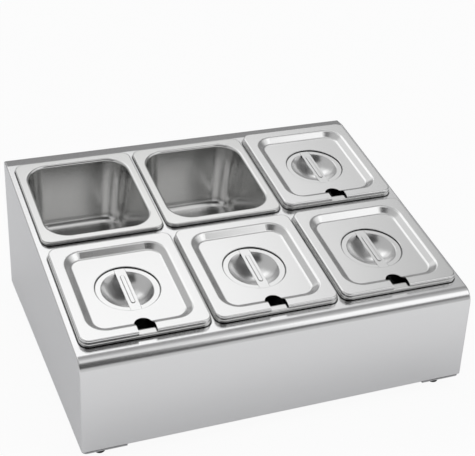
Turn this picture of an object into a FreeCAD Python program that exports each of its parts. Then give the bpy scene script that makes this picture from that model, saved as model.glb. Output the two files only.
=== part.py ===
import FreeCAD, Part
import math
import os
import re

import Sketcher

# Buffet condiment dispenser: a wedge-shaped steel housing with six lift-out pans and their lift-off lids.
# Frame: +X to the right, +Y to the back, +Z up, with the origin on the table under the middle of the whole.

# Driving dimensions, in millimetres and degrees
SIZES = {
    # Housing sheets
    "front_height": 126.5,
    "deck_angle": 9.8,
    "ledge_depth": 19,
    "rear_drop": 20,
    "nose_radius": 18,
    "crease_radius": 12,
    "fold_radius": 2.5,
    "housing_sheet": 1,
    "side_turn_in": 6,
    "front_turn_in": 12,
    "rear_turn_in": 12,
    # Layout of the deck
    "side_margin": 8.6,
    "column_gap": 4.4,
    "deck_front_margin": 25,
    "row_gap": 14.5,
    "deck_rear_margin": 7.3,
    "rim_seat": 8,
    "cutout_radius": 22,
    # Channel under the deck between the rows
    "rail_width": 22,
    "rail_height": 16,
    "rail_sheet": 1.2,
    # Corner plates and feet
    "plate_length": 55,
    "plate_neck": 24,
    "plate_thickness": 2,
    "plate_inset": 1,
    "plate_corner_radius": 6,
    "foot_side_inset": 27,
    "foot_end_inset": 22,
    "foot_diameter": 15,
    "foot_tread_diameter": 13,
    "foot_height": 16,
    "foot_edge_radius": 1.5,
    "screw_diameter": 3,
    "screw_clearance": 0.2,
    "head_diameter": 5.6,
    "head_height": 2,
    "head_clearance": 0.5,
    "head_recess": 4,
    "nut_width": 5.5,
    "nut_height": 2.4,
    "thread_clearance": 0.05,
    "screw_tail": 1.5,
    # Pans
    "pan_width": 162,
    "pan_length": 176,
    "pan_depth": 100,
    "pan_sheet": 0.8,
    "pan_rim_width": 12,
    "pan_rim_height": 5.4,
    "pan_corner_radius": 12,
    "pan_fold_radius": 2,
    "pan_mouth_radius": 3,
    "pan_inner_radius": 30,
    "pan_floor_radius": 13,
    "pan_draft": 4.5,
    # Lids
    "lid_reveal": 1,
    "lid_sheet": 0.8,
    "lid_lip_height": 3.6,
    "lid_corner_radius": 11,
    "lid_fold_radius": 2,
    "lid_rim_width": 14,
    "lid_recess_depth": 7,
    "lid_recess_radius": 24,
    "lid_wall_draft": 50,
    "lid_shoulder_radius": 4.2,
    "lid_floor_radius": 4.5,
    "notch_width": 23,
    "notch_reach": 31,
    "ring_diameter": 81,
    "ring_depth": 2,
    "ring_edge_radius": 0.7,
    "cup_diameter": 65,
    "cup_depth": 18,
    "cup_edge_radius": 1.2,
    # Bars across the cups
    "bar_width": 13.5,
    "bar_thickness": 1.5,
    "bar_end_gap": 1,
    "bar_seat_gap": 0.3,
    "bar_corner_radius": 1.5,
    "rib_length": 52,
    "rib_width": 5,
    "rib_height": 0.9,
    "rib_edge_radius": 0.6,
    # Seats, stand-offs and cuts
    "seat_gap": 0.2,
    "seam_gap": 0.2,
    "lean_angle": 12,
    "lean_gap": 0.3,
    "overrun": 2,
    "edge_tolerance": 0.01,
}

COLUMNS = {"left": -1, "middle": 0, "right": 1}
ROWS = {"front": 0, "rear": 1}
LIDS_OFF = [("rear", "left"), ("rear", "middle")]

doc = FreeCAD.newDocument("condiment_dispenser")
sheet = doc.addObject("Spreadsheet::Sheet", "sizes")
for row, (alias, number) in enumerate(SIZES.items(), start=1):
    sheet.set(f"A{row}", alias)
    sheet.set(f"B{row}", str(number))
    sheet.setAlias(f"B{row}", alias)
doc.recompute()

SIZE_NAMES = re.compile(r"\b(" + "|".join(SIZES) + r")\b")
nodes = []


# Sizes that follow from the driving dimensions

COLUMN_PITCH = "(pan_width + column_gap)"
ROW_PITCH = "(pan_length + row_gap)"
DECK_LENGTH = f"(deck_front_margin + {ROW_PITCH} + pan_length + deck_rear_margin)"
HOUSING_WIDTH = f"(2 * (side_margin + {COLUMN_PITCH}) + pan_width)"
HOUSING_DEPTH = f"({DECK_LENGTH} * cos(deck_angle) + ledge_depth)"
BACK_HEIGHT = f"(front_height + {DECK_LENGTH} * sin(deck_angle))"
BASE_HEIGHT = "(foot_height + plate_thickness)"
CUTOUT_WIDTH = "(pan_width - 2 * rim_seat)"
CUTOUT_LENGTH = "(pan_length - 2 * rim_seat)"
LID_WIDTH = "(pan_width - 2 * lid_reveal)"
LID_LENGTH = "(pan_length - 2 * lid_reveal)"
RING_FLOOR = "(lid_recess_depth + ring_depth)"
CUP_SPHERE = "(((cup_diameter / 2) ^ 2 + cup_depth ^ 2) / (2 * cup_depth))"
BAR_LENGTH = "(ring_diameter - 2 * bar_end_gap)"
PAN_RISE = "(pan_rim_height + seat_gap)"
LID_RISE = f"({PAN_RISE} + lid_lip_height + seat_gap)"

# A lid that is off leans on the back of the housing with its notch up, and its cup reaches furthest back
LEAN_BACK = f"(lean_gap + {LID_LENGTH} / 2 * sin(lean_angle))"
LEAN_RISE = f"(lean_gap + {LID_LENGTH} / 2 * cos(lean_angle))"
CUP_CENTRE = f"({RING_FLOOR} + cup_depth - {CUP_SPHERE})"
LEAN_REACH = f"({LEAN_BACK} + {CUP_CENTRE} * cos(lean_angle) + {CUP_SPHERE} + lid_sheet)"
FRONT = f"(-({HOUSING_DEPTH} + {LEAN_REACH}) / 2)"


# Document helpers

def formula(words):
    """The expression with every size read from the sheet."""
    return SIZE_NAMES.sub(r"sizes.\g<0>", words)


def value(words):
    """The number that an expression gives."""
    result = sheet.evalExpression(formula(words))
    return float(getattr(result, "Value", result))


def bind(thing, prop, words):
    thing.setExpression(prop, formula(words))


def place(thing, across, back, up, turn="rotationx(0)"):
    bind(thing, "Placement", f"placement(vector({across}; {back}; {up}); {turn})")


def keep(thing, label):
    """Names a finished sub-part and lists it for writing."""
    thing.Label = label
    nodes.append(thing)
    return thing


def link_to(source, label):
    copy = doc.addObject("App::Link", label)
    copy.LinkedObject = source
    return copy


def new_body(name):
    return doc.addObject("PartDesign::Body", name)


def new_sketch(body, role, height="0"):
    """A sketch on one of the body's own planes, at a height along the plane's normal."""
    sketch = body.newObject("Sketcher::SketchObject", "outline")
    plane = next(feature for feature in body.Origin.OriginFeatures if feature.Role == role)
    sketch.AttachmentSupport = (plane, [""])
    sketch.MapMode = "FlatFace"
    bind(sketch, "AttachmentOffset.Base.z", height)
    return sketch


def hold(sketch, index, point, across, up):
    """Holds one point of the geometry at a distance across and up from the sketch's origin."""
    for kind, axis, words in (("DistanceX", -2, across), ("DistanceY", -1, up)):
        if words == "0":
            sketch.addConstraint(Sketcher.Constraint("PointOnObject", index, point, axis))
        else:
            number = sketch.addConstraint(Sketcher.Constraint(kind, -1, 1, index, point, value(words)))
            bind(sketch, f"Constraints[{number}]", words)


def polygon(sketch, corners):
    """A closed outline of straight lines through pairs of expressions."""
    points = [FreeCAD.Vector(value(across), value(up), 0) for across, up in corners]
    count = len(points)
    for index in range(count):
        sketch.addGeometry(Part.LineSegment(points[index], points[(index + 1) % count]))
    for index in range(count):
        sketch.addConstraint(Sketcher.Constraint("Coincident", index, 2, (index + 1) % count, 1))
    for index, (across, up) in enumerate(corners):
        hold(sketch, index, 1, across, up)


def rounded_rectangle(sketch, width, length, radius, centre=("0", "0")):
    """A rectangle with round corners about a centre, its sides along the sketch's axes."""
    first = sketch.GeometryCount
    half_width, half_length, round_off = value(width) / 2, value(length) / 2, value(radius)
    middle = FreeCAD.Vector(value(centre[0]), value(centre[1]), 0)
    inset_x, inset_y = half_width - round_off, half_length - round_off
    corners = [(inset_x, -inset_y), (inset_x, inset_y), (-inset_x, inset_y), (-inset_x, -inset_y)]
    starts = [(0, -1), (1, 0), (0, 1), (-1, 0)]
    axis = FreeCAD.Vector(0, 0, 1)
    for turn in range(4):
        before, after = corners[turn - 1], corners[turn]
        side = FreeCAD.Vector(starts[turn][0] * round_off, starts[turn][1] * round_off, 0)
        start = middle + FreeCAD.Vector(*before, 0) + side
        end = middle + FreeCAD.Vector(*after, 0) + side
        sketch.addGeometry(Part.LineSegment(start, end))
        corner = Part.Circle(middle + FreeCAD.Vector(*after, 0), axis, round_off)
        sketch.addGeometry(Part.ArcOfCircle(corner, (turn - 1) * math.pi / 2, turn * math.pi / 2))
    for step in range(8):
        following = first + (step + 1) % 8
        sketch.addConstraint(Sketcher.Constraint("Tangent", first + step, 2, following, 1))
    for step, kind in ((0, "Horizontal"), (2, "Vertical"), (4, "Horizontal"), (6, "Vertical")):
        sketch.addConstraint(Sketcher.Constraint(kind, first + step))
    for step in (3, 5, 7):
        sketch.addConstraint(Sketcher.Constraint("Equal", first + 1, first + step))
    point = sketch.addGeometry(Part.Point(middle), True)
    hold(sketch, point, 1, *centre)
    sketch.addConstraint(Sketcher.Constraint("Symmetric", first, 1, first + 4, 1, point, 1))
    spans = (("DistanceX", first + 6, first + 2, width), ("DistanceY", first, first + 4, length))
    for kind, low, high, words in spans:
        number = sketch.addConstraint(Sketcher.Constraint(kind, low, 1, high, 1, value(words)))
        bind(sketch, f"Constraints[{number}]", words)
    number = sketch.addConstraint(Sketcher.Constraint("Radius", first + 1, value(radius)))
    bind(sketch, f"Constraints[{number}]", radius)


def circle(sketch, diameter, across="0", up="0"):
    centre = FreeCAD.Vector(value(across), value(up), 0)
    index = sketch.addGeometry(Part.Circle(centre, FreeCAD.Vector(0, 0, 1), value(diameter) / 2))
    hold(sketch, index, 3, across, up)
    number = sketch.addConstraint(Sketcher.Constraint("Diameter", index, value(diameter)))
    bind(sketch, f"Constraints[{number}]", diameter)


def extrude(kind, body, sketch, length, reverse=False, taper=None, symmetric=False):
    """A Pad, or a Pocket, of one sketch."""
    feature = body.newObject(f"PartDesign::{kind}", kind.lower())
    feature.Profile = sketch
    feature.SideType = "Symmetric" if symmetric else "One side"
    feature.Reversed = reverse
    bind(feature, "Length", length)
    if taper:
        bind(feature, "TaperAngle", taper)
    doc.recompute()


def turned(kind, body, sketch):
    """A Revolution, or a Groove, of one sketch about its own upright axis."""
    feature = body.newObject(f"PartDesign::{kind}", kind.lower())
    feature.Profile = sketch
    feature.ReferenceAxis = (sketch, ["V_Axis"])
    feature.Angle = 360
    doc.recompute()


def bend(body, edges, radius):
    """Rounds edges of the body's newest feature."""
    base = body.Tip
    if not edges:
        raise RuntimeError(f"{body.Name}: no edge to round to {radius}")
    feature = body.newObject("PartDesign::Fillet", "bend")
    feature.Base = (base, edges)
    bind(feature, "Radius", radius)
    doc.recompute()


def edges_inside(body, across=None, back=None, up=None):
    """The edges of the body's newest feature that lie wholly between pairs of limits along X, Y and Z."""
    slack = value("edge_tolerance")
    found = []
    for index, edge in enumerate(body.Tip.Shape.Edges, start=1):
        box = edge.BoundBox
        spans = ((box.XMin, box.XMax, across), (box.YMin, box.YMax, back), (box.ZMin, box.ZMax, up))
        limited = [(low, high, limits) for low, high, limits in spans if limits]
        if all(limits[0] - slack < low and high < limits[1] + slack for low, high, limits in limited):
            found.append(f"Edge{index}")
    return found


def loop_at(body, height, width, length):
    """The edges at one height that lie inside a rectangle about the Z axis."""
    level = value(height)
    half_width, half_length = value(width) / 2, value(length) / 2
    return edges_inside(body, (-half_width, half_width), (-half_length, half_length), (level, level))


def fold_lines(body, back, up):
    """The edges along X at one place in the side view."""
    place_y, place_z = value(back), value(up)
    return edges_inside(body, None, (place_y, place_y), (place_z, place_z))


# Housing, drawn in side view: Y back from the front face, Z up from the bottom edge

def wedge(inset):
    """The housing's side outline, drawn in by an inset measured square to each side."""
    rise = f"(front_height - {inset} / cos(deck_angle))"
    top = f"({BACK_HEIGHT} - {inset})"
    return {
        "toe": (inset, inset),
        "nose": (inset, f"({rise} + {inset} * tan(deck_angle))"),
        "crease": (f"(({top} - {rise}) / tan(deck_angle))", top),
        "top": (f"({HOUSING_DEPTH} - {inset})", top),
        "heel": (f"({HOUSING_DEPTH} - {inset})", inset),
    }


def round_profile(body, corners, names, inset):
    """Rounds the folds of the side outline that have the given names."""
    radii = {"nose": "nose_radius", "crease": "crease_radius"}
    for name in names:
        bend(body, fold_lines(body, *corners[name]), f"{radii.get(name, 'fold_radius')} - {inset}")


def deck_place(across, along, rise):
    """Position, in the frame of the whole, of a point up the deck's slope and square off its face."""
    back = f"{FRONT} + ({along}) * cos(deck_angle) - ({rise}) * sin(deck_angle)"
    up = f"{BASE_HEIGHT} + front_height + ({along}) * sin(deck_angle) + ({rise}) * cos(deck_angle)"
    return across, back, up


def cell(row, column):
    """Where a pan's middle lies: across the deck, and up its slope from the front edge."""
    across = f"{COLUMNS[column]} * {COLUMN_PITCH}"
    along = f"deck_front_margin + {ROWS[row]} * {ROW_PITCH} + pan_length / 2"
    return across, along


def wrap_panel():
    """One folded sheet: the front with its turned-in foot, the nose, the deck, the ledge and its drop."""
    body = new_body("wrap_panel")
    outer, inner = wedge("0"), wedge("housing_sheet")
    drop = f"({BACK_HEIGHT} - rear_drop)"
    corners = [("front_turn_in", "0"), outer["toe"], ("0", "front_height"), outer["crease"], outer["top"]]
    corners += [(HOUSING_DEPTH, drop), (f"{HOUSING_DEPTH} - housing_sheet", drop)]
    corners += [inner["top"], inner["crease"], inner["nose"], inner["toe"]]
    corners += [("front_turn_in", "housing_sheet")]
    profile = new_sketch(body, "YZ_Plane")
    polygon(profile, corners)
    extrude("Pad", body, profile, f"{HOUSING_WIDTH} - 2 * side_turn_in", symmetric=True)
    folds = ["toe", "nose", "crease", "top"]
    round_profile(body, inner, folds, "housing_sheet")
    round_profile(body, outer, folds, "0")
    holes = new_sketch(body, "XY_Plane", "front_height")
    bind(holes, "AttachmentOffset", "placement(vector(0; 0; front_height); rotationx(deck_angle))")
    for row in ROWS:
        for column in COLUMNS:
            rounded_rectangle(holes, CUTOUT_WIDTH, CUTOUT_LENGTH, "cutout_radius", cell(row, column))
    extrude("Pocket", body, holes, "2 * (housing_sheet + overrun)", symmetric=True)
    place(body, "0", FRONT, BASE_HEIGHT)
    keep(body, "wrap_panel")


def side_panels():
    """A wedge of sheet with its edge turned in all round, and its mirror image."""
    body = new_body("left_side_panel")
    outer, inner = wedge("0"), wedge("housing_sheet")
    folds = ["toe", "nose", "crease", "top", "heel"]
    face = value(f"-{HOUSING_WIDTH} / 2")
    profile = new_sketch(body, "YZ_Plane", f"-{HOUSING_WIDTH} / 2")
    polygon(profile, [outer[name] for name in folds])
    extrude("Pad", body, profile, "side_turn_in")
    hollow = new_sketch(body, "YZ_Plane", f"side_turn_in - {HOUSING_WIDTH} / 2")
    polygon(hollow, [inner[name] for name in folds])
    extrude("Pocket", body, hollow, "side_turn_in - housing_sheet")
    round_profile(body, inner, folds, "housing_sheet")
    inside = face + value("housing_sheet")
    bend(body, edges_inside(body, (inside, inside)), "fold_radius - housing_sheet")
    round_profile(body, outer, folds, "0")
    bend(body, edges_inside(body, (face, face)), "fold_radius")
    place(body, "0", FRONT, BASE_HEIGHT)
    keep(body, "left_side_panel")
    mirror = doc.addObject("Part::Mirroring", "right_side_panel")
    mirror.Source = body
    mirror.Normal = FreeCAD.Vector(1, 0, 0)
    keep(mirror, "right_side_panel")


def rear_panel():
    """A sheet that closes the back between the side panels, under the ledge's drop, with a turned-in foot."""
    body = new_body("rear_panel")
    outer, inner = wedge("0")["heel"], wedge("housing_sheet")["heel"]
    top = f"({BACK_HEIGHT} - rear_drop - seam_gap)"
    foot = f"({HOUSING_DEPTH} - rear_turn_in)"
    profile = new_sketch(body, "YZ_Plane")
    polygon(profile, [(foot, "0"), outer, (outer[0], top), (inner[0], top), inner, (foot, "housing_sheet")])
    extrude("Pad", body, profile, f"{HOUSING_WIDTH} - 2 * side_turn_in", symmetric=True)
    bend(body, fold_lines(body, *inner), "fold_radius - housing_sheet")
    bend(body, fold_lines(body, *outer), "fold_radius")
    place(body, "0", FRONT, BASE_HEIGHT)
    keep(body, "rear_panel")


def cross_rail():
    """A channel under the strip of deck between the rows, open side down."""
    body = new_body("cross_rail")
    half = "(rail_width / 2)"
    wall = f"({half} - rail_sheet)"
    profile = new_sketch(body, "YZ_Plane")
    corners = [(f"-{half}", "-rail_height"), (f"-{half}", "0"), (half, "0"), (half, "-rail_height")]
    corners += [(wall, "-rail_height"), (wall, "-rail_sheet"), (f"-{wall}", "-rail_sheet")]
    corners += [(f"-{wall}", "-rail_height")]
    polygon(profile, corners)
    extrude("Pad", body, profile, f"{HOUSING_WIDTH} - 2 * (fold_radius + seam_gap)", symmetric=True)
    along = "deck_front_margin + pan_length + row_gap / 2"
    place(body, *deck_place("0", along, "-housing_sheet"), "rotationx(deck_angle)")
    keep(body, "cross_rail")


# Corner plates, feet and their fasteners

def corner_plate_form(name, hole_across, hole_back):
    """A plate with its outer corner at the origin, cut off across the inner corner, with a screw hole."""
    body = new_body(name)
    profile = new_sketch(body, "XY_Plane")
    corners = [("0", "0"), ("plate_length", "0"), ("plate_length", "plate_neck")]
    corners += [("plate_neck", "plate_length"), ("0", "plate_length")]
    polygon(profile, corners)
    hole = (f"{hole_across} - plate_inset", f"{hole_back} - plate_inset")
    circle(profile, "screw_diameter + 2 * screw_clearance", *hole)
    extrude("Pad", body, profile, "plate_thickness", reverse=True)
    bend(body, edges_inside(body, (0, 0), (0, 0)), "plate_corner_radius")
    return body


def foot_form():
    """A rubber foot on the table, tapered to its tread, with a recess for the screw head."""
    body = new_body("foot_form")
    bore = "(screw_diameter / 2 + screw_clearance)"
    recess = "(head_diameter / 2 + head_clearance)"
    profile = new_sketch(body, "XZ_Plane")
    corners = [(recess, "0"), ("foot_tread_diameter / 2", "0"), ("foot_diameter / 2", "foot_height")]
    corners += [(bore, "foot_height"), (bore, "head_recess"), (recess, "head_recess")]
    polygon(profile, corners)
    turned("Revolution", body, profile)
    wide = "foot_tread_diameter"
    loops = loop_at(body, "0", wide, wide)
    inner = loop_at(body, "0", f"2 * {recess}", f"2 * {recess}")
    bend(body, [name for name in loops if name not in inner], "foot_edge_radius")
    return body


def screw_form():
    """A screw that stands head down in its foot."""
    body = new_body("screw_form")
    tip = f"({BASE_HEIGHT} + nut_height + screw_tail)"
    under = "(head_recess - head_height)"
    profile = new_sketch(body, "XZ_Plane")
    corners = [("0", under), ("head_diameter / 2", under), ("head_diameter / 2", "head_recess")]
    corners += [("screw_diameter / 2", "head_recess"), ("screw_diameter / 2", tip), ("0", tip)]
    polygon(profile, corners)
    turned("Revolution", body, profile)
    return body


def nut_form():
    """A hexagon nut with its thread left as a plain bore."""
    blank = doc.addObject("Part::Prism", "nut_blank")
    blank.Polygon = 6
    bind(blank, "Circumradius", "nut_width / sqrt(3)")
    bind(blank, "Height", "nut_height")
    bore = doc.addObject("Part::Cylinder", "nut_bore")
    bind(bore, "Radius", "screw_diameter / 2 + thread_clearance")
    bind(bore, "Height", "nut_height + 2 * overrun")
    place(bore, "0", "0", "-overrun")
    nut = doc.addObject("Part::Cut", "nut_form")
    nut.Base = blank
    nut.Tool = bore
    return nut


def corner_spot(corner, side_inset, end_inset):
    """A place drawn in from the side and the front or rear of the housing at one of its corners."""
    side, end = (-1 if "left" in corner else 1), (1 if "rear" in corner else 0)
    across = f"{side} * ({HOUSING_WIDTH} / 2 - {side_inset})"
    back = f"{FRONT} + {end} * {HOUSING_DEPTH} + {1 - 2 * end} * {end_inset}"
    return across, back


def feet():
    """A plate, foot, screw and nut at each corner, with the screws and the nuts as groups."""
    insets = ("foot_side_inset", "foot_end_inset")
    plates = [corner_plate_form("plate_form", *insets), corner_plate_form("turned_plate_form", *reversed(insets))]
    foot, screw, nut = foot_form(), screw_form(), nut_form()
    screws, nuts = [], []
    for turn, corner in enumerate(("front_left", "front_right", "rear_right", "rear_left")):
        corner_plate = keep(link_to(plates[turn % 2], f"foot_plate_{corner}"), f"foot_plate_{corner}")
        outer = corner_spot(corner, "plate_inset", "plate_inset")
        place(corner_plate, *outer, BASE_HEIGHT, f"rotationz({turn} * 90)")
        centre = corner_spot(corner, *insets)
        place(keep(link_to(foot, f"foot_{corner}"), f"foot_{corner}"), *centre, "0")
        screws.append(link_to(screw, f"screw_{corner}"))
        place(screws[-1], *centre, "0")
        nuts.append(link_to(nut, f"nut_{corner}"))
        place(nuts[-1], *centre, BASE_HEIGHT)
    for label, group in (("foot_screws", screws), ("foot_nuts", nuts)):
        compound = doc.addObject("Part::Compound", label)
        compound.Links = group
        keep(compound, label)


# Pans, lids and bars, each drawn with its rim's upper face at Z = 0 and its front towards -Y

def folded_rim(body, width, length, radius, height, metal, fold):
    """A flat rim with its edge turned down all round."""
    outline = new_sketch(body, "XY_Plane")
    rounded_rectangle(outline, width, length, radius)
    extrude("Pad", body, outline, height, reverse=True)
    under = new_sketch(body, "XY_Plane", f"-{height}")
    rounded_rectangle(under, f"{width} - 2 * {metal}", f"{length} - 2 * {metal}", f"{radius} - {metal}")
    extrude("Pocket", body, under, f"{height} - {metal}", reverse=True)
    bend(body, loop_at(body, f"-{metal}", width, length), f"{fold} - {metal}")
    bend(body, loop_at(body, "0", width, length), fold)


def drawn_well(body, width, length, radius, depth, metal, draft, floor_round, mouth_round):
    """A tapered well pressed down from the rim, one sheet thick, with round floor edges and a round mouth."""
    skin = f"({metal} / cos({draft}))"
    wide, long = f"({width} + 2 * {skin})", f"({length} + 2 * {skin})"
    outside = new_sketch(body, "XY_Plane")
    rounded_rectangle(outside, wide, long, f"{radius} + {skin}")
    extrude("Pad", body, outside, f"{depth} + {metal}", reverse=True, taper=f"-{draft}")
    inside = new_sketch(body, "XY_Plane")
    rounded_rectangle(inside, width, length, radius)
    extrude("Pocket", body, inside, depth, taper=f"-{draft}")
    bend(body, loop_at(body, f"-{depth}", width, length), floor_round)
    bend(body, loop_at(body, f"-({depth} + {metal})", wide, long), f"{floor_round} + {metal}")
    bend(body, loop_at(body, f"-{metal}", wide, long), mouth_round)
    bend(body, loop_at(body, "0", width, length), f"{mouth_round} + {metal}")


def pan_form():
    """A deep pan with a flat rim."""
    body = new_body("pan_form")
    metal = "pan_sheet"
    rim = ("pan_corner_radius", "pan_rim_height", metal, "pan_fold_radius")
    folded_rim(body, "pan_width", "pan_length", *rim)
    width, length = "(pan_width - 2 * pan_rim_width)", "(pan_length - 2 * pan_rim_width)"
    bends = ("pan_floor_radius", "pan_mouth_radius")
    drawn_well(body, width, length, "pan_inner_radius", f"(pan_depth - {metal})", metal, "pan_draft", *bends)
    return body


def dome(sketch, diameter, level, depth):
    """Half of a cap of a sphere that hangs below a level, for turning about the upright axis."""
    radius, top, drop = value(diameter) / 2, value(level), value(depth)
    sphere = (radius ** 2 + drop ** 2) / (2 * drop)
    middle = FreeCAD.Vector(0, top, 0)
    foot = FreeCAD.Vector(0, top - drop, 0)
    rim = FreeCAD.Vector(radius, top, 0)
    round_line = Part.Circle(FreeCAD.Vector(0, top - drop + sphere, 0), FreeCAD.Vector(0, 0, 1), sphere)
    sketch.addGeometry(Part.LineSegment(foot, middle))
    sketch.addGeometry(Part.LineSegment(middle, rim))
    sketch.addGeometry(Part.ArcOfCircle(round_line, round_line.parameter(foot), round_line.parameter(rim)))
    for one, end, other, start in ((0, 2, 1, 1), (1, 2, 2, 2), (2, 1, 0, 1)):
        sketch.addConstraint(Sketcher.Constraint("Coincident", one, end, other, start))
    hold(sketch, 0, 1, "0", f"{level} - {depth}")
    hold(sketch, 0, 2, "0", level)
    hold(sketch, 1, 2, f"{diameter} / 2", level)
    sketch.addConstraint(Sketcher.Constraint("PointOnObject", 2, 3, -2))


def round_step(body, kind, level, diameter, depth):
    """A round boss or recess that goes down from a level."""
    sketch = new_sketch(body, "XY_Plane", level)
    circle(sketch, diameter)
    extrude(kind, body, sketch, depth, reverse=kind == "Pad")


def bar_seat(body, kind, level, margin, depth):
    """A boss or recess that goes down from a level, as wide and long as the bar with a margin all round."""
    sketch = new_sketch(body, "XY_Plane", level)
    size = (f"bar_width + 2 * {margin}", f"{BAR_LENGTH} + 2 * {margin}", f"bar_corner_radius + {margin}")
    rounded_rectangle(sketch, *size)
    extrude(kind, body, sketch, depth, reverse=kind == "Pad")


def lid_form():
    """A lid with a recessed panel, a ring and cup in its middle, and a spoon notch in its front edge."""
    body = new_body("lid_form")
    metal = "lid_sheet"
    rim = ("lid_corner_radius", "lid_lip_height", metal, "lid_fold_radius")
    folded_rim(body, LID_WIDTH, LID_LENGTH, *rim)
    width, length = f"({LID_WIDTH} - 2 * lid_rim_width)", f"({LID_LENGTH} - 2 * lid_rim_width)"
    bends = ("lid_floor_radius", "lid_shoulder_radius")
    drawn_well(body, width, length, "lid_recess_radius", "lid_recess_depth", metal, "lid_wall_draft", *bends)

    # The underside of the ring, of the bar's seats and of the cup
    panel, floor = "-lid_recess_depth", f"-{RING_FLOOR}"
    boss = f"(ring_diameter + 2 * {metal})"
    round_step(body, "Pad", panel, boss, f"ring_depth + {metal}")
    bend(body, loop_at(body, f"{floor} - {metal}", boss, boss), "ring_edge_radius")
    bar_seat(body, "Pad", panel, f"(bar_seat_gap + {metal})", f"ring_depth + bar_thickness + {metal}")
    bulge = new_sketch(body, "XZ_Plane")
    dome(bulge, f"(cup_diameter + 2 * {metal})", floor, f"(cup_depth + {metal})")
    turned("Revolution", body, bulge)

    # The upper face of the ring, of the cup and of the bar's seats
    round_step(body, "Pocket", panel, "ring_diameter", "ring_depth")
    cup = new_sketch(body, "XZ_Plane")
    dome(cup, "cup_diameter", floor, "cup_depth")
    turned("Groove", body, cup)
    bend(body, loop_at(body, panel, "ring_diameter", "ring_diameter"), "ring_edge_radius")
    bend(body, loop_at(body, floor, "cup_diameter", "cup_diameter"), "cup_edge_radius")
    bar_seat(body, "Pocket", floor, "bar_seat_gap", "bar_thickness")

    notch = new_sketch(body, "XY_Plane", "overrun")
    length, start = "(2 * (notch_reach + overrun))", f"-({LID_LENGTH} / 2 + overrun)"
    rounded_rectangle(notch, "notch_width", length, "notch_width / 2 - edge_tolerance", ("0", start))
    extrude("Pocket", body, notch, f"lid_recess_depth + {metal} + 2 * overrun")
    return body


def bar_form():
    """A strap sunk level with the ring's floor, with a long rib pressed up along it."""
    body = new_body("bar_form")
    strap = new_sketch(body, "XY_Plane", f"-{RING_FLOOR}")
    rounded_rectangle(strap, "bar_width", BAR_LENGTH, "bar_corner_radius")
    extrude("Pad", body, strap, "bar_thickness", reverse=True)
    rib = new_sketch(body, "XY_Plane", f"-{RING_FLOOR}")
    rounded_rectangle(rib, "rib_width", "rib_length", "rib_width / 2 - edge_tolerance")
    extrude("Pad", body, rib, "rib_height")
    bend(body, loop_at(body, f"rib_height - {RING_FLOOR}", "rib_width", "rib_length"), "rib_edge_radius")
    return body


def fill_deck():
    """A pan in each cut-out, and each lid with its bar on its pan or leaning behind the housing."""
    pan, lid, bar = pan_form(), lid_form(), bar_form()
    for row in ROWS:
        for column in COLUMNS:
            across, along = cell(row, column)
            seat = (*deck_place(across, along, LID_RISE), "rotationx(deck_angle)")
            if (row, column) in LIDS_OFF:
                back = f"{FRONT} + {HOUSING_DEPTH} + {LEAN_BACK}"
                seat = (across, back, LEAN_RISE, "rotationx(90 + lean_angle) * rotationz(180)")
            rest = (*deck_place(across, along, PAN_RISE), "rotationx(deck_angle)")
            for form, kind, spot in ((pan, "pan", rest), (lid, "lid", seat), (bar, "lid_handle", seat)):
                label = f"{kind}_{row}_{column}"
                place(keep(link_to(form, label), label), *spot)


wrap_panel()
side_panels()
rear_panel()
cross_rail()
feet()
fill_deck()
doc.recompute()

# Every object has to be sound before anything is written
for thing in doc.Objects:
    if "Invalid" in thing.State or "Error" in thing.State:
        raise RuntimeError(f"{thing.Label} failed: {thing.State}")
for node in nodes:
    if node.Shape.isNull() or not node.Shape.isValid():
        raise RuntimeError(f"{node.Label} has no sound shape")

os.makedirs("parts", exist_ok=True)
for node in nodes:
    node.Shape.exportStep(f"parts/{node.Label}.step")
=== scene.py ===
import math
from typing import NamedTuple

import bmesh
import bpy
from bpy.props import FloatProperty, FloatVectorProperty, IntProperty, PointerProperty
from mathutils import Matrix, Vector


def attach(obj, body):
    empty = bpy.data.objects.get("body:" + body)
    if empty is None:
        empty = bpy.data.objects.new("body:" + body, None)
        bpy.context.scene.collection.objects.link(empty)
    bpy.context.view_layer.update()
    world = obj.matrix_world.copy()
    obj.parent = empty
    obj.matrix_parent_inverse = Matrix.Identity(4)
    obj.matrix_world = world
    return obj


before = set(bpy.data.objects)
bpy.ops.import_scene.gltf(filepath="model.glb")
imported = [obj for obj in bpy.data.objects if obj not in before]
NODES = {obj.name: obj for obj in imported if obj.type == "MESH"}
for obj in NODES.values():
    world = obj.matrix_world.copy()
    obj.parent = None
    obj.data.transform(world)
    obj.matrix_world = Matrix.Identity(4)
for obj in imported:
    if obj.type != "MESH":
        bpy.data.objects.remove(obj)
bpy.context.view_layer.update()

bl_info = {
    "name": "Buffet condiment dispenser",
    "version": (1, 0, 0),
    "blender": (4, 5, 0),
    "location": "View3D > Sidebar > Dispenser",
    "description": "Finishes a steel condiment dispenser and sets a studio around it",
    "category": "Object",
}

CELLS = [name.removeprefix("pan_") for name in sorted(NODES) if name.startswith("pan_")]


# Sizes and colours that a user would change

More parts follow.
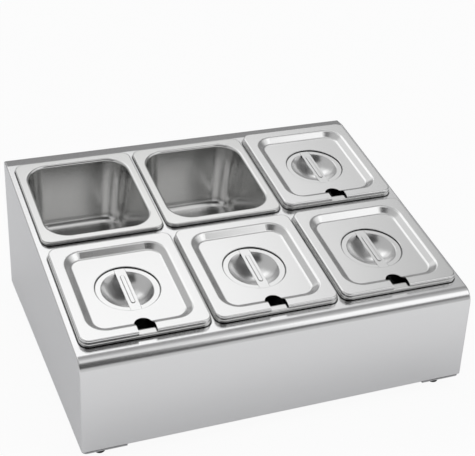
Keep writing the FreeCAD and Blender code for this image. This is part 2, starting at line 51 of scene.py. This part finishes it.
class DispenserFinish(bpy.types.PropertyGroup):
    """Colours and polish of the steel sheets, the rubber and the small parts."""

    housing_colour: FloatVectorProperty(
        name="Housing colour", description="Satin steel of the housing sheets",
        subtype="COLOR", size=4, min=0, max=1, default=(0.76, 0.76, 0.765, 1))
    housing_roughness: FloatProperty(
        name="Housing roughness", description="Blur of reflections in the satin sheets",
        subtype="FACTOR", min=0, max=1, default=0.20)
    pan_colour: FloatVectorProperty(
        name="Pan colour", description="Drawn steel of the pans",
        subtype="COLOR", size=4, min=0, max=1, default=(0.72, 0.72, 0.715, 1))
    pan_roughness: FloatProperty(
        name="Pan roughness", description="Blur of reflections in the pans",
        subtype="FACTOR", min=0, max=1, default=0.22)
    lid_colour: FloatVectorProperty(
        name="Lid colour", description="Bright steel of the lids and their bars",
        subtype="COLOR", size=4, min=0, max=1, default=(0.80, 0.80, 0.80, 1))
    lid_roughness: FloatProperty(
        name="Lid roughness", description="Blur of reflections in the lids",
        subtype="FACTOR", min=0, max=1, default=0.24)
    plate_colour: FloatVectorProperty(
        name="Plate colour", description="Plain rolled steel of the corner plates and the rail",
        subtype="COLOR", size=4, min=0, max=1, default=(0.52, 0.52, 0.53, 1))
    fastener_colour: FloatVectorProperty(
        name="Fastener colour", description="Zinc on the screws and nuts",
        subtype="COLOR", size=4, min=0, max=1, default=(0.64, 0.65, 0.66, 1))
    rolled_roughness: FloatProperty(
        name="Rolled roughness", description="Least blur of reflections in rolled steel and zinc",
        subtype="FACTOR", min=0, max=1, default=0.36)
    rubber_colour: FloatVectorProperty(
        name="Rubber colour", description="Black rubber of the feet",
        subtype="COLOR", size=4, min=0, max=1, default=(0.018, 0.018, 0.019, 1))
    rubber_roughness: FloatProperty(
        name="Rubber roughness", description="Least blur of reflections in the rubber",
        subtype="FACTOR", min=0, max=1, default=0.62)
    rubber_grain: FloatProperty(
        name="Rubber grain", description="Size of the pits in the rubber's skin",
        unit="LENGTH", min=0.00005, default=0.0006)
    grain_length: FloatProperty(
        name="Grain length", description="Length of the brush scratches in the satin sheets",
        unit="LENGTH", min=0.001, default=0.09)
    grain_width: FloatProperty(
        name="Grain width", description="Width of the brush scratches in the satin sheets",
        unit="LENGTH", min=0.00005, default=0.0005)
    wipe_length: FloatProperty(
        name="Wipe length", description="Length of the faint wipe marks on polished sheets",
        unit="LENGTH", min=0.00005, default=0.004)
    wipe_width: FloatProperty(
        name="Wipe width", description="Width of the faint wipe marks on polished sheets",
        unit="LENGTH", min=0.00005, default=0.0006)
    cloud_size: FloatProperty(
        name="Cloud size", description="Size of the soft patches that handling and rolling leave",
        unit="LENGTH", min=0.001, default=0.06)
    mottle_size: FloatProperty(
        name="Mottle size", description="Size of the spots on rolled steel and zinc",
        unit="LENGTH", min=0.0001, default=0.006)
    # Painted shade: these settings darken the colour in seams and tight corners, where little open air is
    # round a point
    seam_shade_colour: FloatVectorProperty(
        name="Seam shade colour", description="Painted shade in seams and tight corners",
        subtype="COLOR", size=4, min=0, max=1, default=(0.02, 0.02, 0.02, 1))
    seam_width: FloatProperty(
        name="Seam width", description="How far the painted shade reaches out of a seam",
        unit="LENGTH", min=0, default=0.0026)
    seam_closed: FloatProperty(
        name="Seam closed", description="Share of open air at and under which a seam is fully grimed",
        subtype="FACTOR", min=0, max=1, default=0.64)
    seam_open: FloatProperty(
        name="Seam open", description="Share of open air from which a surface is clean",
        subtype="FACTOR", min=0, max=1, default=0.9)
    seam_samples: IntProperty(
        name="Seam samples", description="Rays that look for a seam",
        min=1, default=8)


class WeldMarkSizes(bpy.types.PropertyGroup):
    """Spot weld marks near the ends of each lid's bar."""

    mark_diameter: FloatProperty(
        name="Mark diameter", description="Width of one weld mark",
        unit="LENGTH", min=0.0001, default=0.0022)
    mark_rise: FloatProperty(
        name="Mark rise", description="Height of the ridge round a weld mark",
        unit="LENGTH", min=0.00001, default=0.00018)
    mark_spacing: FloatProperty(
        name="Mark spacing", description="Distance between the two marks at one end",
        unit="LENGTH", min=0.0001, default=0.0066)
    mark_inset: FloatProperty(
        name="Mark inset", description="From the end of the bar to its marks",
        unit="LENGTH", min=0.0001, default=0.0048)
    mark_segments: IntProperty(
        name="Mark segments", description="Steps round one weld mark",
        min=8, default=24)


class DispenserStage(bpy.types.PropertyGroup):
    """The floor, the light and the camera."""

    floor_size: FloatProperty(
        name="Floor size", description="Side of the square floor",
        unit="LENGTH", min=1, default=60)
    floor_colour: FloatVectorProperty(
        name="Floor colour", description="Pale floor under the object",
        subtype="COLOR", size=4, min=0, max=1, default=(0.92, 0.925, 0.945, 1))
    floor_white: FloatProperty(
        name="Floor white", description="Share of the floor that shows as plain white behind its shadow",
        subtype="FACTOR", min=0, max=1, default=0.94)
    shade_inset: FloatProperty(
        name="Shade inset", description="From the housing's front and left edges in to the floor's shade",
        unit="LENGTH", min=0, default=0.032)
    shade_fade: FloatProperty(
        name="Shade fade", description="Half the width over which that shade sets in",
        unit="LENGTH", min=0, default=0.006)
    mirrored_near: FloatProperty(
        name="Mirrored near", description="Share of plain white in the floor that steel mirrors nearby",
        subtype="FACTOR", min=0, max=1, default=0.26)
    mirrored_far: FloatProperty(
        name="Mirrored far", description="Share of plain white in the floor that steel mirrors in front",
        subtype="FACTOR", min=0, max=1, default=0.66)
    mirrored_start: FloatProperty(
        name="Mirrored start", description="From the middle forward to where the mirrored floor brightens",
        unit="LENGTH", min=0, default=0.22)
    mirrored_end: FloatProperty(
        name="Mirrored end", description="From the middle forward to where the mirrored floor is brightest",
        unit="LENGTH", min=0, default=0.42)
    room_level: FloatProperty(
        name="Room level", description="Brightness of the room as a whole",
        min=0, default=1)
    softbox_size: FloatProperty(
        name="Softbox size", description="Side of the square lamp",
        unit="LENGTH", min=0.1, default=1.2)
    softbox_place: FloatVectorProperty(
        name="Softbox place", description="Where the lamp hangs, in front of the object on the right",
        subtype="XYZ", unit="LENGTH", size=3, default=(1.17, -1.3, 1.92))
    softbox_power: FloatProperty(
        name="Softbox power", description="Power of the lamp",
        unit="POWER", min=0, default=2)
    camera_distance: FloatProperty(
        name="Camera distance", description="From the camera to the point that it looks at",
        unit="LENGTH", min=0.1, default=1.6395)
    camera_azimuth: FloatProperty(
        name="Camera azimuth", description="How far the camera stands to the left of the front",
        subtype="ANGLE", default=math.radians(22.239))
    camera_elevation: FloatProperty(
        name="Camera elevation", description="How far the camera looks down",
        subtype="ANGLE", default=math.radians(28.616))
    camera_roll: FloatProperty(
        name="Camera roll", description="Lean of the camera's top to its left",
        subtype="ANGLE", default=math.radians(2.393))
    camera_aim: FloatVectorProperty(
        name="Camera aim", description="Point on the object in the middle of the picture",
        subtype="XYZ", unit="LENGTH", size=3, default=(0.0431, 0.0485, 0.128))
    camera_lens: FloatProperty(
        name="Camera lens", description="Focal length on a 36 mm wide picture, in millimetres",
        min=1, default=88.016)


# Shader trees

class Wire:
    """One socket of a shader tree: arithmetic on wires adds Math nodes to the tree."""

    def __init__(self, tree, socket):
        self.tree = tree
        self.socket = socket

    def node(self, kind, settings=None, values=None, output=0):
        """Adds a node, sets it up, gives its sockets values or links, and returns one output, if any."""
        made = self.tree.nodes.new(kind)
        for name, setting in (settings or {}).items():
            setattr(made, name, setting)
        for name, given in (values or {}).items():
            if isinstance(given, Wire):
                self.tree.links.new(given.socket, made.inputs[name])
            else:
                made.inputs[name].default_value = given
        if made.outputs:
            return Wire(self.tree, made.outputs[output])
        return None

    def other(self, output):
        """Another output of the same node."""
        return Wire(self.tree, self.socket.node.outputs[output])

    def math(self, operation, first, second):
        return self.node("ShaderNodeMath", {"operation": operation}, {0: first, 1: second})

    def __add__(self, other):
        return self.math("ADD", self, other)

    def __sub__(self, other):
        return self.math("SUBTRACT", self, other)

    def __rsub__(self, other):
        return self.math("SUBTRACT", other, self)

    def __mul__(self, other):
        return self.math("MULTIPLY", self, other)

    __radd__ = __add__
    __rmul__ = __mul__


def new_tree(owner):
    """An empty shader tree of a material or a world, as a wire to start from."""
    owner.use_nodes = True
    owner.node_tree.nodes.clear()
    return Wire(owner.node_tree, None)


def smooth_step(tree, value, start, end):
    """Goes smoothly from 0 to 1 while a value goes from start to end."""
    values = {"Value": value, "From Min": start, "From Max": end}
    return tree.node("ShaderNodeMapRange", {"interpolation_type": "SMOOTHSTEP"}, values, output="Result")


def plateau(tree, value, stretch, fade):
    """1 inside a stretch of values and 0 outside it, with smooth edges."""
    start, end = stretch
    rise = smooth_step(tree, value, start - fade, start + fade)
    return rise * smooth_step(tree, value, end + fade, end - fade)


def scaled_noise(tree, spacing, detail):
    """Noise whose cells have a given size along each axis of the object, in metres."""
    place = tree.node("ShaderNodeTexCoord", output="Object")
    scale = [1 / size for size in spacing]
    spread = tree.node("ShaderNodeMapping", values={"Vector": place, "Scale": scale})
    return tree.node("ShaderNodeTexNoise", values={"Vector": spread, "Scale": 1, "Detail": detail})


def tinted(tree, dark, light, factor):
    """A colour between a dark and a light one."""
    values = {"Factor": factor, "A": dark, "B": light}
    return tree.node("ShaderNodeMix", {"data_type": "RGBA"}, values, output="Result")


# Finishes

class Skin(NamedTuple):
    """How noise marks a finish: its steps of detail, and what it does to colour, roughness and height."""

    detail: float
    darkest: float
    lightest: float
    blur: float
    relief: float


# The darkest and lightest tones are shares of the colour, and the relief is in metres
SATIN = Skin(detail=3, darkest=0.97, lightest=1.02, blur=0.08, relief=0.000008)
BRIGHT = Skin(detail=3, darkest=0.96, lightest=1.03, blur=0.04, relief=0.000001)
ROLLED = Skin(detail=5, darkest=0.82, lightest=1.1, blur=0.2, relief=0.00003)
RUBBER = Skin(detail=4, darkest=0.8, lightest=1.6, blur=0.2, relief=0.00004)

# Soft patches on satin and bright steel
PATCH_DETAIL = 2
SATIN_PATCH_BLUR = 0.06
BRIGHT_PATCH_BLUR = 0.05

# The middle of the range of a noise
NOISE_MIDDLE = 0.5


def shade(colour, share):
    """A share of a colour, opaque."""
    return [channel * share for channel in colour[:3]] + [1]


def toned(tree, colour, skin, noise):
    """A colour that goes with noise from its darkest to its lightest tone."""
    return tinted(tree, shade(colour, skin.darkest), shade(colour, skin.lightest), noise)


def surface(tree, look, colour, roughness, metallic, bumps, relief):
    """Joins a colour, a roughness and bumps to the material's output, with shade painted into tight seams.
    """
    # Painted shade: the colour goes towards the seam shade colour where ambient occlusion finds little open
    # air
    rays = {"samples": look.seam_samples}
    open_air = tree.node("ShaderNodeAmbientOcclusion", rays, {"Distance": look.seam_width}, output="AO")
    unshaded = smooth_step(tree, open_air, look.seam_closed, look.seam_open)
    darkened = tinted(tree, look.seam_shade_colour, colour, unshaded)
    normal = tree.node("ShaderNodeBump", values={"Height": bumps, "Strength": 1, "Distance": relief})
    values = {"Base Color": darkened, "Roughness": roughness, "Metallic": metallic, "Normal": normal}
    shader = tree.node("ShaderNodeBsdfPrincipled", values=values)
    tree.node("ShaderNodeOutputMaterial", values={"Surface": shader})


def satin_steel(name, look, grain):
    """Brushed sheet: fine scratches along one axis, in soft patches."""
    material = bpy.data.materials.new(name)
    tree = new_tree(material)
    scratches = scaled_noise(tree, grain, SATIN.detail)
    patches = scaled_noise(tree, [look.cloud_size] * 3, PATCH_DETAIL)
    blur = look.housing_roughness + SATIN.blur * (scratches - NOISE_MIDDLE)
    blur = blur + SATIN_PATCH_BLUR * (patches - NOISE_MIDDLE)
    tone = toned(tree, look.housing_colour, SATIN, scratches)
    surface(tree, look, tone, blur, 1, scratches, SATIN.relief)
    return material


def bright_steel(name, look, colour, roughness):
    """Pressed and polished sheet: almost a mirror, with faint wipe marks and soft patches."""
    material = bpy.data.materials.new(name)
    tree = new_tree(material)
    wipes = scaled_noise(tree, (look.wipe_length, look.wipe_width, look.wipe_width), BRIGHT.detail)
    patches = scaled_noise(tree, [look.cloud_size] * 3, PATCH_DETAIL)
    blur = roughness + BRIGHT.blur * (wipes - NOISE_MIDDLE)
    blur = blur + BRIGHT_PATCH_BLUR * (patches - NOISE_MIDDLE)
    tone = toned(tree, colour, BRIGHT, patches)
    surface(tree, look, tone, blur, 1, wipes, BRIGHT.relief)
    return material


def rolled_steel(name, look, colour):
    """Plain rolled or zinc-plated steel with a mottled skin."""
    material = bpy.data.materials.new(name)
    tree = new_tree(material)
    mottle = scaled_noise(tree, [look.mottle_size] * 3, ROLLED.detail)
    tone = toned(tree, colour, ROLLED, mottle)
    surface(tree, look, tone, look.rolled_roughness + ROLLED.blur * mottle, 1, mottle, ROLLED.relief)
    return material


def black_rubber(name, look):
    """Moulded rubber with a fine dull skin."""
    material = bpy.data.materials.new(name)
    tree = new_tree(material)
    pits = scaled_noise(tree, [look.rubber_grain] * 3, RUBBER.detail)
    tone = toned(tree, look.rubber_colour, RUBBER, pits)
    surface(tree, look, tone, look.rubber_roughness + RUBBER.blur * pits, 0, pits, RUBBER.relief)
    return material


def dress(nodes, material):
    """Gives CAD nodes one finish."""
    for name in nodes:
        for slot in NODES[name].material_slots:
            slot.material = material


def named(start):
    """The CAD nodes whose names start alike."""
    return [name for name in sorted(NODES) if name.startswith(start)]


class DISPENSER_OT_housing(bpy.types.Operator):
    """Satin finish on the folded sheets of the housing, with the grain along each sheet"""

    bl_idname = "dispenser.housing"
    bl_label = "Finish the housing"

    def execute(self, context):
        look = context.scene.dispenser_finish
        long, fine = look.grain_length, look.grain_width
        dress(["wrap_panel", "rear_panel"], satin_steel("satin_across", look, (long, fine, fine)))
        dress(["left_side_panel", "right_side_panel"], satin_steel("satin_along", look, (fine, long, fine)))
        return {"FINISHED"}


class DISPENSER_OT_underside(bpy.types.Operator):
    """Plain steel on the rail and corner plates, zinc on the fasteners and rubber on the feet"""

    bl_idname = "dispenser.underside"
    bl_label = "Finish the underside"

    def execute(self, context):
        look = context.scene.dispenser_finish
        plates = named("foot_plate")
        fasteners = ["foot_screws", "foot_nuts"]
        feet = [name for name in named("foot_") if name not in plates + fasteners]
        dress(feet, black_rubber("foot_rubber_black", look))
        dress(plates + ["cross_rail"], rolled_steel("plate_rolled", look, look.plate_colour))
        dress(fasteners, rolled_steel("fastener_zinc", look, look.fastener_colour))
        return {"FINISHED"}


class DISPENSER_OT_pans(bpy.types.Operator):
    """Drawn steel on the pans"""

    bl_idname = "dispenser.pans"
    bl_label = "Finish the pans"

    def execute(self, context):
        look = context.scene.dispenser_finish
        dress(named("pan_"), bright_steel("pan_drawn", look, look.pan_colour, look.pan_roughness))
        return {"FINISHED"}


class DISPENSER_OT_lids(bpy.types.Operator):
    """Bright steel on the lids and their bars"""

    bl_idname = "dispenser.lids"
    bl_label = "Finish the lids"

    def execute(self, context):
        look = context.scene.dispenser_finish
        dress(named("lid_"), bright_steel("lid_bright", look, look.lid_colour, look.lid_roughness))
        return {"FINISHED"}


# Weld marks

# Points closer than this, in metres, become one
MERGE_DISTANCE = 1e-7

# Half the section of a weld mark, from its middle out, in shares of its radius and its rise
MARK_SECTION = ((0, 0.3), (0.45, 0.4), (0.7, 0.9), (0.82, 1), (0.93, 0.8), (1, -0.3))


class DISPENSER_OT_weld_marks(bpy.types.Operator):
    """Two spot weld marks near each end of every bar"""

    bl_idname = "dispenser.weld_marks"
    bl_label = "Add the weld marks"

    def execute(self, context):
        sizes = context.scene.dispenser_welds
        look = context.scene.dispenser_finish
        material = bright_steel("weld_bright", look, look.lid_colour, look.lid_roughness)
        for cell in CELLS:
            bm = bmesh.new()
            for place in weld_places(f"lid_handle_{cell}", sizes):
                add_mark(bm, sizes, place)
            add_piece(f"weld_marks_{cell}", bm, material, f"lid_{cell}")
        return {"FINISHED"}


def weld_places(node, sizes):
    """The middle of each mark on top of a bar, with the bar's own axes, as matrices."""
    points = [vertex.co for vertex in NODES[node].data.vertices]
    middle = sum(points, Vector()) / len(points)
    spread_y = sum((point.y - middle.y) ** 2 for point in points)
    spread_z = sum((point.z - middle.z) ** 2 for point in points)
    mixed = sum((point.y - middle.y) * (point.z - middle.z) for point in points)
    lean = math.atan2(2 * mixed, spread_y - spread_z) / 2
    along = Vector((0, math.cos(lean), math.sin(lean)))
    normal = Vector((0, -along.z, along.y))
    reach = max(along.dot(point - middle) for point in points)
    heights = [normal.dot(point - middle) for point in points]
    if max(heights) < -min(heights):
        normal = -normal
    ends = [point for point in points if abs(along.dot(point - middle)) > reach - sizes.mark_inset / 2]
    top = max(normal.dot(point - middle) for point in ends)
    across = along.cross(normal)
    turn = Matrix((across, along, normal)).transposed()
    for end in (-1, 1):
        for side in (-1, 1):
            offset = Vector((side * sizes.mark_spacing / 2, end * (reach - sizes.mark_inset), top))
            yield Matrix.LocRotScale(middle + turn @ offset, turn, None)


def add_mark(bm, sizes, place):
    """A shallow round ridge with a dished middle, turned about its own axis."""
    radius, rise = sizes.mark_diameter / 2, sizes.mark_rise
    older = set(bm.verts)
    made = [bm.verts.new((radius * out, 0, rise * up)) for out, up in MARK_SECTION]
    edges = [bm.edges.new(pair) for pair in zip(made, made[1:])]
    bmesh.ops.spin(bm, geom=made + edges, cent=(0, 0, 0), axis=(0, 0, 1), dvec=(0, 0, 0),
                   angle=math.tau, steps=sizes.mark_segments, use_merge=True, use_duplicate=False)
    bmesh.ops.transform(bm, matrix=place, verts=[vertex for vertex in bm.verts if vertex not in older])


def add_piece(name, bm, material, body):
    """Makes a finished piece of a bmesh, with smooth faces, that moves with a body."""
    bmesh.ops.remove_doubles(bm, verts=bm.verts, dist=MERGE_DISTANCE)
    bmesh.ops.recalc_face_normals(bm, faces=bm.faces)
    mesh = bpy.data.meshes.new(name)
    bm.to_mesh(mesh)
    bm.free()
    mesh.shade_smooth()
    mesh.materials.append(material)
    piece = bpy.data.objects.new(name, mesh)
    bpy.context.scene.collection.objects.link(piece)
    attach(piece, body)


# Stage

class DISPENSER_OT_stage(bpy.types.Operator):
    """A pale floor, a room of light panels and dark flags, a softbox and the camera"""

    bl_idname = "dispenser.stage"
    bl_label = "Set the stage"

    def execute(self, context):
        look = context.scene.dispenser_stage
        add_floor(look)
        add_room(look)
        add_softbox(look)
        add_camera(look)
        context.scene.view_settings.view_transform = "Standard"
        return {"FINISHED"}


def add_floor(look):
    """A square floor."""
    bm = bmesh.new()
    bmesh.ops.create_grid(bm, x_segments=1, y_segments=1, size=look.floor_size / 2)
    mesh = bpy.data.meshes.new("floor")
    bm.to_mesh(mesh)
    bm.free()
    mesh.materials.append(pale_floor(look))
    floor = bpy.data.objects.new("floor", mesh)
    bpy.context.scene.collection.objects.link(floor)


def pale_floor(look):
    """A matte floor that shows as plain white to the eye and in steel, but is shaded under the housing."""
    material = bpy.data.materials.new("floor_white")
    tree = new_tree(material)
    seen = tree.node("ShaderNodeLightPath", output="Is Camera Ray")
    mirrored = seen.other("Is Glossy Ray") + seen.other("Is Transmission Ray")
    place = tree.node("ShaderNodeTexCoord", output="Object")
    across = tree.node("ShaderNodeSeparateXYZ", values={"Vector": place}, output="X")
    depth = across.other("Y")
    under = plateau(tree, across, inner_stretch(look, 0), look.shade_fade)
    under = under * plateau(tree, depth, inner_stretch(look, 1), look.shade_fade)
    far = smooth_step(tree, depth, -look.mirrored_start, -look.mirrored_end)
    bright = look.mirrored_near + far * (look.mirrored_far - look.mirrored_near)
    share = seen * look.floor_white * (1 - under) + mirrored * bright
    matte = tree.node("ShaderNodeBsdfDiffuse", values={"Color": look.floor_colour})
    white = tree.node("ShaderNodeEmission", values={"Color": (1, 1, 1, 1), "Strength": 1})
    mixed = tree.node("ShaderNodeMixShader", values={0: share, 1: matte, 2: white})
    tree.node("ShaderNodeOutputMaterial", values={"Surface": mixed})
    return material


def inner_stretch(look, axis):
    """The stretch of the floor under the housing along one axis, behind the edges that face the camera."""
    places = [corner[axis] for corner in NODES["wrap_panel"].bound_box]
    return min(places) + look.shade_inset, max(places)


class RoomPatch(NamedTuple):
    """A patch of the room: its arc, its span, how far their edges fade, and its brightness."""

    arc: tuple
    arc_fade: float
    span: tuple
    span_fade: float
    level: float


# Brightness of the room where no panel or flag is
WALL_LEVEL = 0.52

# Light panels and dark flags round the object, each laid over the ones before it. The arc goes in degrees
# from the back (0) over the ceiling (90) to the front (180), and the span goes from the left (-1) to the
# right (1).
PATCHES = {
    "low_back": RoomPatch((-20, 40), 3, (-0.5, 1.5), 0.1, 0.3),
    "back_left": RoomPatch((24, 86), 5, (-0.46, -0.12), 0.1, 0.92),
    "back_panel": RoomPatch((45, 64), 4, (-0.46, 0.41), 0.12, 1.36),
    "ceiling_gap": RoomPatch((64, 80), 3, (-0.1, 0.62), 0.08, 0.34),
    "ceiling_strip": RoomPatch((95, 117), 5, (-0.05, 0.4), 0.08, 0.88),
    "front_panel": RoomPatch((104, 140), 5, (0.31, 1.5), 0.08, 0.9),
    "front_flag": RoomPatch((119, 158), 4, (-0.62, 0.29), 0.06, 0.06),
    "front_dip": RoomPatch((142, 159), 4, (0.2, 0.52), 0.08, 0.1),
    "front_horizon": RoomPatch((164, 200), 4, (-1.5, 0.38), 0.06, 0.68),
    "right_flag": RoomPatch((-20, 82), 5, (0.57, 1.5), 0.06, 0.26),
}


def add_room(look):
    """Light from all round, from bright panels and dark flags."""
    world = bpy.data.worlds.new("room")
    bpy.context.scene.world = world
    tree = new_tree(world)
    ray = tree.node("ShaderNodeTexCoord", output="Generated")
    across = tree.node("ShaderNodeSeparateXYZ", values={"Vector": ray}, output="X")
    arc = tree.math("ARCTAN2", across.other("Z"), across.other("Y")) * math.degrees(1)
    level = WALL_LEVEL
    for patch in PATCHES.values():
        inside = plateau(tree, arc, patch.arc, patch.arc_fade)
        inside = inside * plateau(tree, across, patch.span, patch.span_fade)
        level = level + inside * (patch.level - level)
    back = tree.node("ShaderNodeBackground", values={"Color": level * look.room_level, "Strength": 1})
    tree.node("ShaderNodeOutputWorld", values={"Surface": back})


def add_softbox(look):
    """One large square lamp."""
    lamp = bpy.data.lights.new("softbox", "AREA")
    lamp.shape = "SQUARE"
    lamp.size = look.softbox_size
    lamp.energy = look.softbox_power
    box = bpy.data.objects.new("softbox", lamp)
    place = Vector(look.softbox_place)
    box.location = place
    box.rotation_euler = (-place).to_track_quat("-Z", "Y").to_euler()
    bpy.context.scene.collection.objects.link(box)


def add_camera(look):
    """The camera, aimed at a point from a distance, azimuth and elevation, and rolled."""
    lens = bpy.data.cameras.new("camera")
    lens.lens = look.camera_lens
    camera = bpy.data.objects.new("camera", lens)
    level, side = look.camera_elevation, look.camera_azimuth
    sight = Vector((math.cos(level) * math.sin(side), math.cos(level) * math.cos(side), -math.sin(level)))
    turn = sight.to_track_quat("-Z", "Y").to_matrix() @ Matrix.Rotation(look.camera_roll, 3, "Z")
    place = Vector(look.camera_aim) - look.camera_distance * sight
    camera.matrix_world = Matrix.LocRotScale(place, turn, None)
    bpy.context.scene.collection.objects.link(camera)
    bpy.context.scene.camera = camera


# Panel and registration

class DISPENSER_PT_panel(bpy.types.Panel):
    """Lists the steps that finish the dispenser"""

    bl_idname = "DISPENSER_PT_panel"
    bl_label = "Condiment dispenser"
    bl_space_type = "VIEW_3D"
    bl_region_type = "UI"
    bl_category = "Dispenser"

    def draw(self, context):
        for step in STEPS:
            self.layout.operator(step.bl_idname)
        for group in ("dispenser_finish", "dispenser_welds", "dispenser_stage"):
            settings = getattr(context.scene, group)
            box = self.layout.box()
            for name in settings.bl_rna.properties.keys():
                if name not in ("rna_type", "name"):
                    box.prop(settings, name)


STEPS = (DISPENSER_OT_housing, DISPENSER_OT_underside, DISPENSER_OT_pans, DISPENSER_OT_lids,
         DISPENSER_OT_weld_marks, DISPENSER_OT_stage)
CLASSES = (DispenserFinish, WeldMarkSizes, DispenserStage, *STEPS, DISPENSER_PT_panel)


def register():
    for cls in CLASSES:
        bpy.utils.register_class(cls)
    bpy.types.Scene.dispenser_finish = PointerProperty(type=DispenserFinish)
    bpy.types.Scene.dispenser_welds = PointerProperty(type=WeldMarkSizes)
    bpy.types.Scene.dispenser_stage = PointerProperty(type=DispenserStage)


def unregister():
    del bpy.types.Scene.dispenser_stage
    del bpy.types.Scene.dispenser_welds
    del bpy.types.Scene.dispenser_finish
    for cls in reversed(CLASSES):
        bpy.utils.unregister_class(cls)


def main():
    register()
    bpy.ops.dispenser.housing()
    bpy.ops.dispenser.underside()
    bpy.ops.dispenser.pans()
    bpy.ops.dispenser.lids()
    bpy.ops.dispenser.weld_marks()
    bpy.ops.dispenser.stage()


if __name__ == "__main__":
    main()
